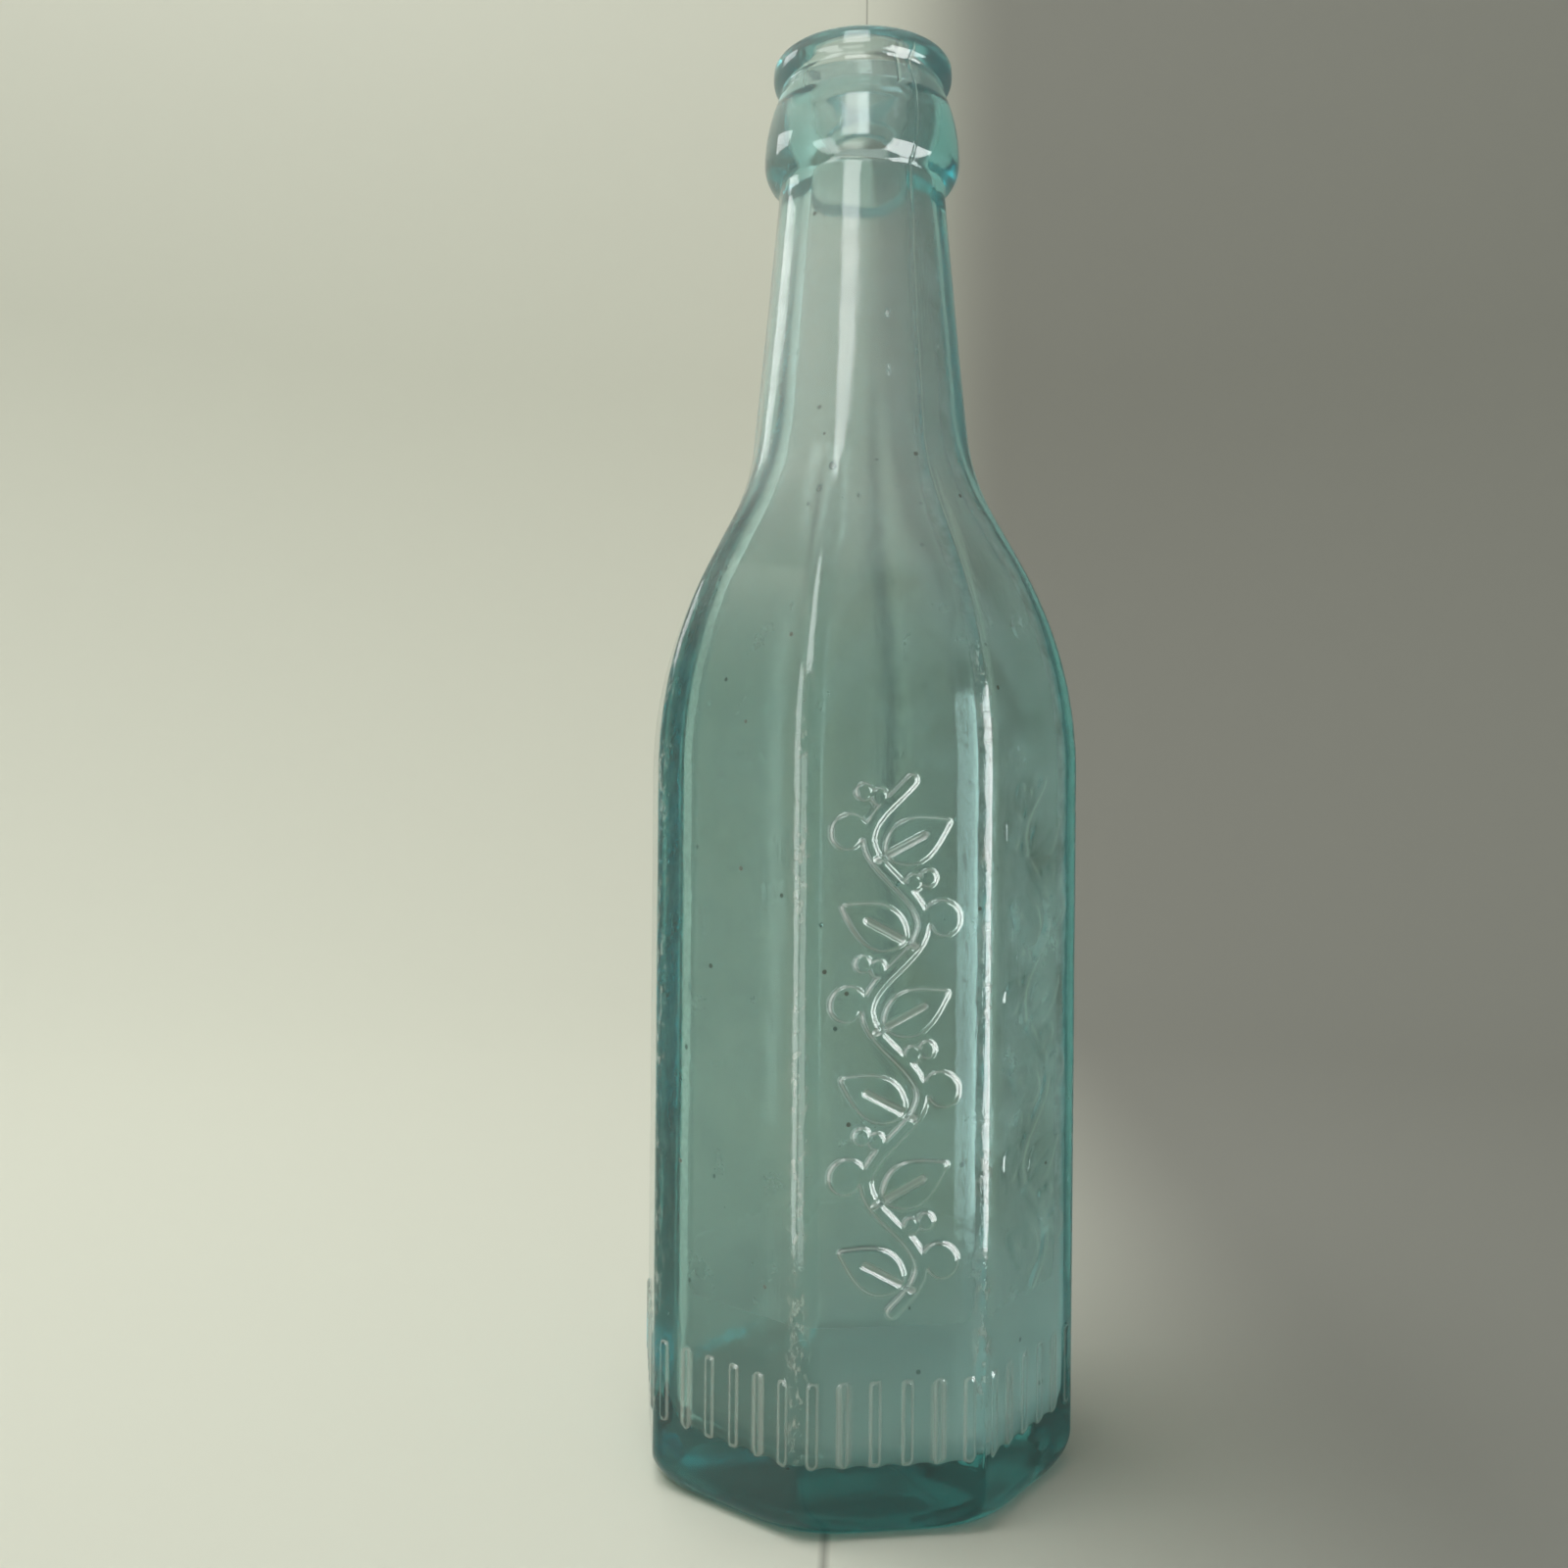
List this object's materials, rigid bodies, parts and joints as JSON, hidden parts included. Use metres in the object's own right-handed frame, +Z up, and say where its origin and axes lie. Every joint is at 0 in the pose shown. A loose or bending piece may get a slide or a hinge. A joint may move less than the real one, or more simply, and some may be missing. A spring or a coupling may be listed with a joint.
{
  "type": "soda bottle",
  "caption": "Upright hollow glass bottle with flat upright panels, curved shoulder, tapered neck, bulging collar and a lip for a crown cap.",
  "frame": {"origin": "middle of the resting ring, on the surface that the bottle stands on", "axes": "+Z up along the bottle's axis from the base to the mouth; X and Y square to opposite flat panels, with the ornamented panel facing -Y"},
  "size_m": [0.0598, 0.0598, 0.203],
  "materials": {
    "aqua_glass": "fire-polished, slightly wavy and lightly hazed aqua glass"
  },
  "bodies": {
    "root": {"glass_bottle": "aqua_glass"}
  },
  "joints": []
}
